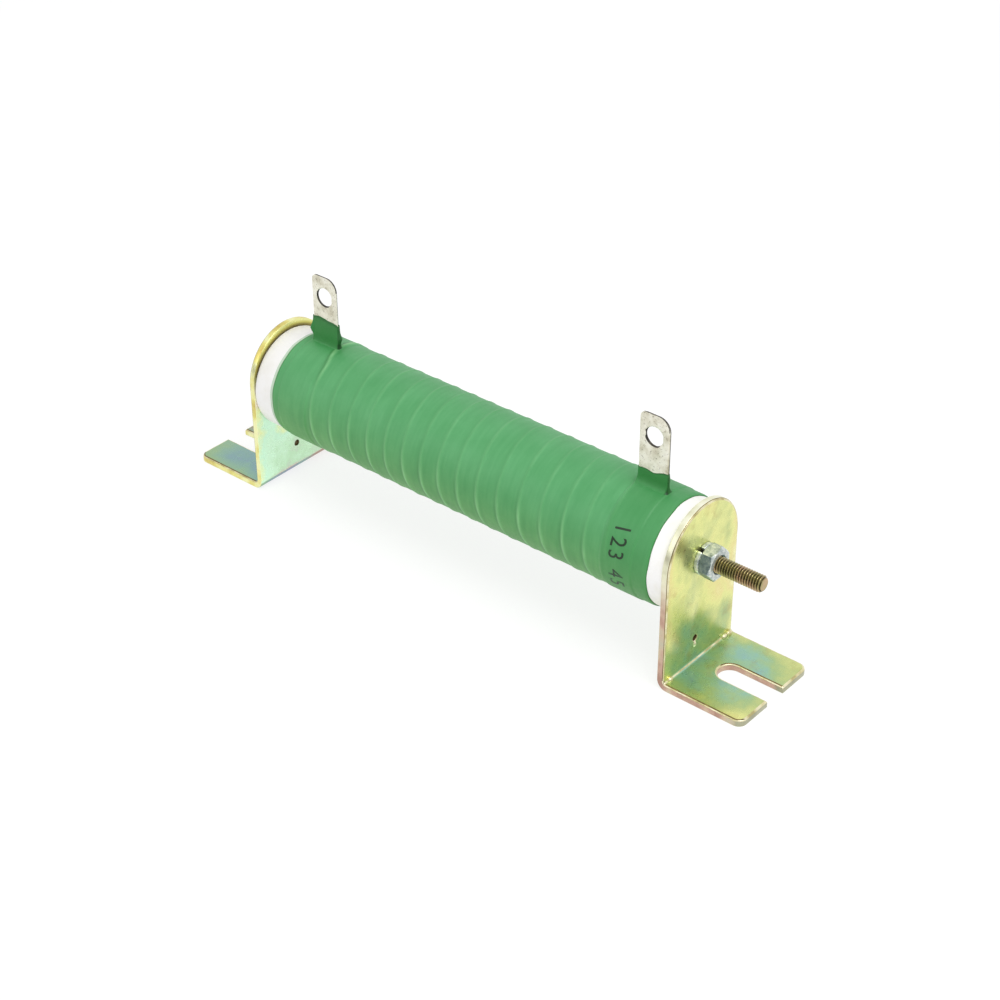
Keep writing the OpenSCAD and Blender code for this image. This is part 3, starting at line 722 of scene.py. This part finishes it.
# The press has rubbed the zinc bright on the bend's burrs, and on the rounded edges and along the
# middle of the bend it is painted bright as a highlight
rubbed_and_highlit_finish, tree, shader, place = new_finish("rubbed_and_highlit_zinc")
film = add(tree, "TexNoise", {"Vector": place, "Scale": every(2), "Detail": 4})
tint = add(tree, "ValToRGB", {"Fac": film.outputs["Fac"]},
           [(0.32, "b8ad7a"), (0.45, "d6cd9c"), (0.6, "ebe4c0")])
tree.links.new(tint.outputs["Color"], shader.inputs["Base Color"])
shader.inputs["Metallic"].default_value = 0.75
shader.inputs["Roughness"].default_value = 0.3

sheet_t = 1.3
bend_r = 0.6
punch_round = 0.38
pierced_r = 0.6
pierced_z = 6
lip_z = 4.7
# A bracket's finishes after its film, by their order on the piece
sheared, painted_shade, rubbed_and_highlit = 1, 2, 3
# The metal squeezed out at the two ends of the bend, as [place across, size, how long it is]
squeezed = [[-8.1, 0.55, 1.1], [8.6, 0.6, 1.2], [7.3, 0.5, 1.3]]
for side, way, hole_y in (("left", -1, 0), ("right", 1, -1.2)):
    bm = copied("bracket_" + side)
    plate = tube_end + sheet_t

    # The side that the punch pressed on has a well rounded edge, and the other side a sharp one
    def on_punch_side(v):
        x, y, z = v.co / MM
        off_hole = math.hypot(y - hole_y, z - pierced_z) > 2 * pierced_r
        return way * x > plate - 0.01 and z > sheet_t - 0.01 and off_hole

    rolled = [e for e in bm.edges if len(e.link_faces) == 2 and e.calc_face_angle() > 1
              and on_punch_side(e.verts[0]) and on_punch_side(e.verts[1])]
    bmesh.ops.bevel(bm, geom=rolled, offset=punch_round * MM, offset_type="OFFSET", segments=5,
                    profile=0.5, affect="EDGES", clamp_overlap=False, material=-1)
    softened(bm, 0.12, 3)
    for face in bm.faces:
        x, y, z = face.calc_center_median() / MM
        x *= way
        # How squarely the face looks out of the sheet, which turns with the bend
        to_bend_x = min(x - plate - bend_r, 0)
        to_bend_z = min(z - sheet_t - bend_r, 0)
        across = max(math.hypot(to_bend_x, to_bend_z), 0.001)
        facing = abs(face.normal.x * way * to_bend_x + face.normal.z * to_bend_z) / across
        in_bend = to_bend_x < 0 and to_bend_z < 0 and across < bend_r + 0.05
        # Inside the pierced hole the zinc is painted dark as shade
        if math.hypot(y - hole_y, z - pierced_z) < pierced_r + 0.02 and x < plate + 0.1:
            face.material_index = painted_shade
        # A painted highlight runs along the middle of the bend
        elif in_bend and 0.55 < to_bend_x / (to_bend_z or -1) < 1.8:
            face.material_index = rubbed_and_highlit
        elif facing < 0.3 or abs(face.normal.y) > 0.95:
            face.material_index = sheared
        # The rounded edge is painted bright as a highlight, and painted dark as shade on its line next
        # to the upright's sheared edge, and next to the foot's face at the front
        elif x > plate - 0.4 and z > sheet_t - 0.4 and facing < 0.995:
            upright = to_bend_z == 0
            line = facing < 0.6 if upright else facing > 0.85 and face.normal.y < -0.05
            face.material_index = painted_shade if line else rubbed_and_highlit
    raised = set()
    for y, size, stretch in squeezed:
        bump = bmesh.ops.create_uvsphere(bm, u_segments=24, v_segments=16, radius=size * MM)["verts"]
        bmesh.ops.scale(bm, verts=bump, vec=(0.85, stretch, 0.85))
        bmesh.ops.translate(bm, verts=bump,
                            vec=(way * (plate + 0.22) * MM, y * MM, (sheet_t + 0.2) * MM))
        raised |= {f for v in bump for f in v.link_faces}
    # The lip that the piercing pin pushed up under the hole
    lip = bmesh.ops.create_cone(bm, cap_ends=True, segments=24, radius1=0.5 * MM, radius2=0.2 * MM,
                                depth=0.3 * MM)["verts"]
    bmesh.ops.rotate(bm, verts=lip, cent=(0, 0, 0), matrix=Matrix.Rotation(way * math.pi / 2, 3, "Y"))
    bmesh.ops.scale(bm, verts=lip, vec=(1, 0.75, 1.5))
    bmesh.ops.translate(bm, verts=lip, vec=(way * (plate + 0.1) * MM, hole_y * MM, lip_z * MM))
    raised |= {f for v in lip for f in v.link_faces}
    for face in raised:
        face.material_index = rubbed_and_highlit
    foot = made(bm, "foot_" + side, zinc, "yellow_zinc", "bracket_" + side)
    for finish in (edge_zinc, shade_zinc, rubbed_and_highlit_finish):
        foot.data.materials.append(finish)


# Through screw
# A steel pan-head screw that runs through the tube and clamps the two brackets on its ends. Its
# thread is rolled, it is zinc plated with a brown passivate, and its grooves are painted dark as shade.
screw_low, screw_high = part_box("through_screw")
screw_z = 21.6
screw_x0 = screw_low[0] / MM
screw_x1 = screw_high[0] / MM
head_h = 2.2
head_r = 2.8
major_r = 1.5
shank_r = 1.45
tip_chamfer = 0.4
thread_depth = 0.3
thread_pitch = 0.5
thread_from = 30
slot_w = 0.8
slot_deep = 1
screw_steps = 48
per_pitch = 8

# Passivated zinc over a rolled thread: olive to tan in patches of 3 mm, and painted nearly black in
# the grooves as shade
brown, tree, shader, place = new_finish("brown_passivated_zinc")
film = add(tree, "TexNoise", {"Vector": place, "Scale": every(3.333), "Detail": 3})
tint = add(tree, "ValToRGB", {"Fac": film.outputs["Fac"]},
           [(0.3, "868650"), (0.5, "aca06c"), (0.7, "cba888")])
groove = add(tree, "Attribute", attribute_name="groove")
sunk_shade = add(tree, "Mix", {0: groove.outputs["Fac"], 6: tint.outputs["Color"], 7: linear("2a280e")},
           data_type="RGBA")
tree.links.new(sunk_shade.outputs[2], shader.inputs["Base Color"])
shader.inputs["Metallic"].default_value = 0.85
shader.inputs["Roughness"].default_value = 0.28

rings = int((screw_x1 - thread_from) / thread_pitch * per_pitch)
profile = [[screw_x0, 0], [screw_x0, head_r - 1.1], [screw_x0 + 0.25, head_r - 0.45],
           [screw_x0 + 0.6, head_r - 0.1], [screw_x0 + 1, head_r], [screw_x0 + head_h, head_r],
           [screw_x0 + head_h, shank_r], [thread_from - 1, shank_r]]
profile += [[thread_from + (screw_x1 - thread_from) * k / rings, major_r] for k in range(rings + 1)]
profile += [[screw_x1, major_r - tip_chamfer - 0.07], [screw_x1, 0]]
bm = turned(profile, screw_steps, False)
groove_layer = bm.verts.layers.float.new("groove")
for v in bm.verts:
    x = v.co.x / MM
    radius = v.co.yz.length / MM
    if x >= thread_from and radius > major_r - 0.1:
        phi = math.atan2(-v.co.y, v.co.z) / (2 * math.pi)
        wave = abs(((x / thread_pitch - phi) % 1) * 2 - 1)
        sunk_in = ease(wave * 1.2)
        # How deep the place lies in the groove, which is painted dark as shade
        v[groove_layer] = sunk_in ** 1.5
        cut = min(major_r - thread_depth * sunk_in, major_r - tip_chamfer + (screw_x1 - x))
        v.co.y *= cut / radius
        v.co.z *= cut / radius
bmesh.ops.translate(bm, verts=bm.verts, vec=(0, 0, screw_z * MM))
screw = made(bm, "pan_head_screw", brown, "brown_zinc", "through_screw", crease=50)
# The driver slot is sawn across the head
bm = bmesh.new()
bmesh.ops.create_cube(bm, size=1)
bmesh.ops.scale(bm, verts=bm.verts, vec=(2 * slot_deep * MM, slot_w * MM, 12 * MM))
bmesh.ops.translate(bm, verts=bm.verts, vec=(screw_x0 * MM, 0, screw_z * MM))
cutter_mesh = bpy.data.meshes.new("driver_slot")
bm.to_mesh(cutter_mesh)
bm.free()
cutter = bpy.data.objects.new("driver_slot", cutter_mesh)
bpy.context.scene.collection.objects.link(cutter)
sawn = screw.modifiers.new("driver_slot", "BOOLEAN")
sawn.operation = "DIFFERENCE"
sawn.object = cutter
bpy.context.view_layer.update()
cut_mesh = bpy.data.meshes.new_from_object(screw.evaluated_get(bpy.context.evaluated_depsgraph_get()))
screw.modifiers.clear()
screw.data = cut_mesh
bpy.data.objects.remove(cutter)


# Spring washer
# A split washer, coiled of square steel wire, hardened and zinc plated with a blue passivate. The nut
# presses it on the right bracket, and its spring keeps the screw tight.
split_turn = 0.5

# Bright zinc with a blue passivate: silvery, faintly blotched, brighter than the film on the brackets
blue, tree, shader, place = new_finish("blue_passivated_zinc")
film = add(tree, "TexNoise", {"Vector": place, "Scale": every(0.7692), "Detail": 5, "Roughness": 0.7})
tint = add(tree, "ValToRGB", {"Fac": film.outputs["Fac"]},
           [(0.3, "8a9799"), (0.47, "bcc6c3"), (0.62, "eaeee8")])
gloss = add(tree, "MapRange", {"Value": film.outputs["Fac"], "To Min": 0.2, "To Max": 0.4})
tree.links.new(tint.outputs["Color"], shader.inputs["Base Color"])
tree.links.new(gloss.outputs["Result"], shader.inputs["Roughness"])
shader.inputs["Metallic"].default_value = 0.5

# Its split is turned to the front, where it shows as a dark notch
bm = copied("spring_washer")
bmesh.ops.rotate(bm, verts=bm.verts, cent=(0, 0, screw_z * MM),
                 matrix=Matrix.Rotation(split_turn, 3, "X"))
softened(bm, 0.12, 2)
made(bm, "split_washer", blue, "blue_zinc", "spring_washer")


# Nut
# A pressed steel hexagon nut, chamfered on its corners and zinc plated with a blue passivate. It is
# screwed on the through screw's right end, and pulls the two brackets together.
nut_low, nut_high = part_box("hex_nut")
nut_x0 = nut_low[0] / MM
nut_x1 = nut_high[0] / MM
nut_half = 2.75
nut_hole_r = 1.52
corner_r = 2.62
hole_chamfer = 0.25
blank_r = 3
nut_turn = math.radians(11.25)
nut_points = 24
nut_steps = 96

profile = [[nut_x0, nut_hole_r + hole_chamfer], [nut_x0, corner_r]]
profile += [[nut_x0 + (nut_x1 - nut_x0) * k / nut_points, blank_r]
            for k in range(nut_points + 1)]
profile += [[nut_x1, corner_r], [nut_x1, nut_hole_r + hole_chamfer],
            [nut_x1 - hole_chamfer, nut_hole_r], [nut_x0 + hole_chamfer, nut_hole_r]]
bm = turned(profile, nut_steps, True)
# The blank is pressed to a hexagon, and its corners are chamfered by 30 degrees
for v in bm.verts:
    radius = v.co.yz.length / MM
    if radius > corner_r + 0.1:
        a = math.atan2(-v.co.y, v.co.z) - nut_turn
        flat = nut_half / math.cos((a + math.pi / 6) % (math.pi / 3) - math.pi / 6)
        depth = min(v.co.x / MM - nut_x0, nut_x1 - v.co.x / MM)
        wanted = min(flat, corner_r + depth * math.tan(math.radians(60)))
        v.co.y *= wanted / radius
        v.co.z *= wanted / radius
bmesh.ops.translate(bm, verts=bm.verts, vec=(0, 0, screw_z * MM))

# The flats but the top one, and the hole's chamfer, are painted darker and duller as shade
nut_shade, tree, shader, place = new_finish("painted_shade_flats")
film = add(tree, "TexNoise", {"Vector": place, "Scale": every(0.6667), "Detail": 5, "Roughness": 0.7})
tint = add(tree, "ValToRGB", {"Fac": film.outputs["Fac"]},
           [(0.3, "4d5c63"), (0.5, "71838a"), (0.68, "9aa9a8")])
tree.links.new(tint.outputs["Color"], shader.inputs["Base Color"])
shader.inputs["Metallic"].default_value = 0.45
shader.inputs["Roughness"].default_value = 0.35
for face in bm.faces:
    from_screw = (face.calc_center_median() - Vector((0, 0, screw_z * MM))).yz.length / MM
    shaded_flat = abs(face.normal.x) < 0.2 and face.normal.z < 0.75
    if from_screw < nut_hole_r + hole_chamfer or shaded_flat:
        face.material_index = 1
nut = made(bm, "hexagon_nut", blue, "blue_zinc", "hex_nut")
nut.data.materials.append(nut_shade)


# Studio
# A pale floor and a white surround, a broad soft key light from the upper right and a weak fill from
# the left. None of it is part of the object.


def studio_piece(bm, name, finish):
    """Makes a plain piece of the studio of a bmesh."""
    mesh = bpy.data.meshes.new(name)
    bm.to_mesh(mesh)
    bm.free()
    mesh.materials.append(finish)
    piece = bpy.data.objects.new(name, mesh)
    bpy.context.scene.collection.objects.link(piece)
    return piece


stage_finish, tree, shader, place = new_finish("pale_floor")
paper = add(tree, "TexNoise", {"Vector": place, "Scale": every(16.67), "Detail": 2})
tint = add(tree, "ValToRGB", {"Fac": paper.outputs["Fac"]}, [(0.2, "fbfbfb"), (0.8, "ffffff")])
shader.inputs["Roughness"].default_value = 1
shader.inputs["Specular IOR Level"].default_value = 0
# The camera sees the floor close to pure white, with a share of the object's soft shadow left in it
rays = add(tree, "LightPath")
direct = add(tree, "Math", {0: rays.outputs["Is Camera Ray"], 1: rays.outputs["Is Glossy Ray"]},
             operation="MAXIMUM")
seen_tint = add(tree, "Mix", {0: direct.outputs["Value"], 6: tint.outputs["Color"],
                              7: linear("8c8c8c")}, data_type="RGBA")
tree.links.new(seen_tint.outputs[2], shader.inputs["Base Color"])
lift = add(tree, "Math", {0: direct.outputs["Value"], 1: 0.8}, operation="MULTIPLY")
shader.inputs["Emission Color"].default_value = linear("ffffff")
tree.links.new(lift.outputs["Value"], shader.inputs["Emission Strength"])
bm = bmesh.new()
bmesh.ops.create_grid(bm, x_segments=2, y_segments=2, size=1.5)
floor = studio_piece(bm, "floor", stage_finish)

# Two grey cards at the front, which give the bright metal something to reflect
card_finish, tree, shader, place = new_finish("grey_card")
shader.inputs["Base Color"].default_value = linear("202020")
shader.inputs["Emission Color"].default_value = linear("ffffff")
shader.inputs["Emission Strength"].default_value = 0.12
for name, where, turn in (("card_left", (-0.16, -0.27, 0.05), -0.55),
                          ("card_right", (0.2, -0.2, 0.045), 0.8)):
    bm = bmesh.new()
    bmesh.ops.create_grid(bm, x_segments=1, y_segments=1, size=1)
    bmesh.ops.scale(bm, verts=bm.verts, vec=(0.14, 0.05, 1))
    bmesh.ops.rotate(bm, verts=bm.verts, cent=(0, 0, 0), matrix=Matrix.Rotation(math.pi / 2, 3, "X"))
    bmesh.ops.rotate(bm, verts=bm.verts, cent=(0, 0, 0), matrix=Matrix.Rotation(turn, 3, "Z"))
    bmesh.ops.translate(bm, verts=bm.verts, vec=where)
    card = studio_piece(bm, name, card_finish)
    card.visible_camera = False
    card.visible_diffuse = False
    card.visible_shadow = False

world = bpy.data.worlds.new("white_surround")
world.use_nodes = True
bpy.context.scene.world = world
tree = world.node_tree
rays = add(tree, "LightPath")
seen = add(tree, "Math", {0: rays.outputs["Is Camera Ray"], 1: rays.outputs["Is Glossy Ray"]},
           operation="MAXIMUM")
level = add(tree, "MapRange", {"Value": seen.outputs["Value"], "To Min": 0.56, "To Max": 1.0})
tree.nodes["Background"].inputs["Color"].default_value = linear("ffffff")
tree.links.new(level.outputs["Result"], tree.nodes["Background"].inputs["Strength"])


def lamp(name, place, aim, size, power):
    """Adds a soft square lamp that faces a point, places in metres and power in watts."""
    light = bpy.data.lights.new(name, "AREA")
    light.size = size
    light.energy = power
    holder = bpy.data.objects.new(name, light)
    holder.location = place
    holder.rotation_euler = (Vector(aim) - Vector(place)).to_track_quat("-Z", "Y").to_euler()
    bpy.context.scene.collection.objects.link(holder)


lamp("key", (0.3, -0.1, 0.6), (0, 0, 0.02), 0.4, 2.2)
lamp("fill", (-0.3, -0.5, 0.25), (0, 0, 0.02), 0.4, 0.5)

camera_data = bpy.data.cameras.new("camera")
camera_data.sensor_width = 36
camera_data.lens = 76.922
camera_data.shift_x = -0.016492
camera_data.shift_y = 0.004473
camera = bpy.data.objects.new("camera", camera_data)
camera.location = Vector((207.575, -238.344, 221.163)) * MM
aim = Vector((8.032, 0, 15.078)) * MM
camera.rotation_euler = (aim - camera.location).to_track_quat("-Z", "Y").to_euler()
bpy.context.scene.collection.objects.link(camera)
bpy.context.scene.camera = camera
bpy.context.scene.view_settings.view_transform = "Standard"
